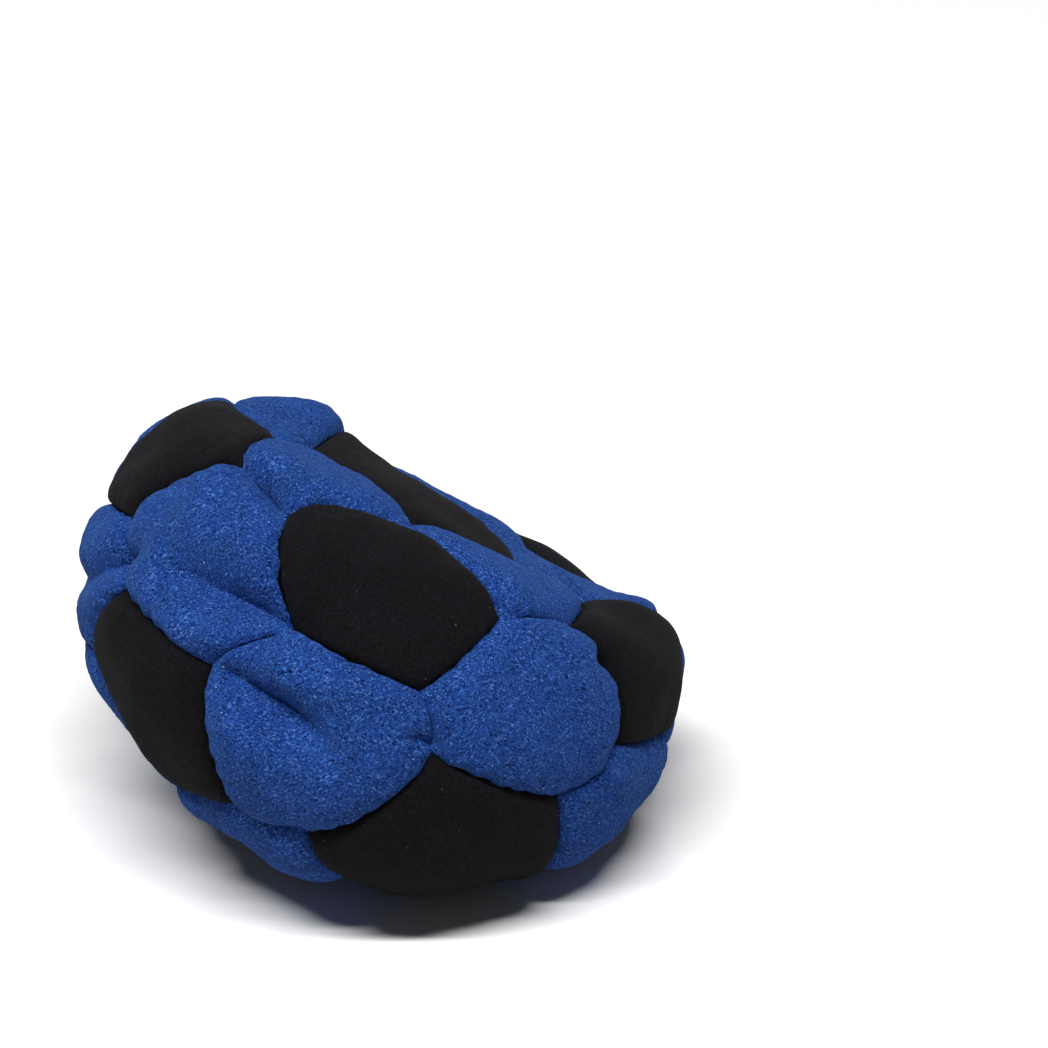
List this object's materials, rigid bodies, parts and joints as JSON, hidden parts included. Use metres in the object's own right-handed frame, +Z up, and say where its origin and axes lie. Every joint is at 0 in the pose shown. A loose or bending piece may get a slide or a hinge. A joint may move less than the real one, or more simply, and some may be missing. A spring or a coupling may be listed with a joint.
{
  "type": "footbag",
  "caption": "Small kick ball of sewn black five-sided and blue six-sided suede panels over a loose fill, slumped on a flat foot with a pressed flat on one shoulder.",
  "frame": {"origin": "on the resting surface, under the middle of the ball's box", "axes": "+Z up from the resting surface; -Y towards the side that shows the whole front black panel; the pressed flat faces up, back and to +X"},
  "size_m": [0.0544, 0.0552, 0.0407],
  "materials": {
    "black_suede": "matt napped suede",
    "blue_suede": "matt napped suede",
    "thread": "waxed thread",
    "grains": "loose fine grains"
  },
  "bodies": {
    "root": {"black_panel_01": "black_suede", "black_panel_02": "black_suede", "black_panel_03": "black_suede", "black_panel_04": "black_suede", "black_panel_05": "black_suede", "black_panel_06": "black_suede", "black_panel_07": "black_suede", "black_panel_08": "black_suede", "black_panel_09": "black_suede", "black_panel_10": "black_suede", "black_panel_11": "black_suede", "black_panel_12": "black_suede", "blue_panel_01": "blue_suede", "blue_panel_02": "blue_suede", "blue_panel_03": "blue_suede", "blue_panel_04": "blue_suede", "blue_panel_05": "blue_suede", "blue_panel_06": "blue_suede", "blue_panel_07": "blue_suede", "blue_panel_08": "blue_suede", "blue_panel_09": "blue_suede", "blue_panel_10": "blue_suede", "blue_panel_11": "blue_suede", "blue_panel_12": "blue_suede", "blue_panel_13": "blue_suede", "blue_panel_14": "blue_suede", "blue_panel_15": "blue_suede", "blue_panel_16": "blue_suede", "blue_panel_17": "blue_suede", "blue_panel_18": "blue_suede", "blue_panel_19": "blue_suede", "blue_panel_20": "blue_suede", "sewing_thread": "thread", "filling": "grains"}
  },
  "joints": []
}
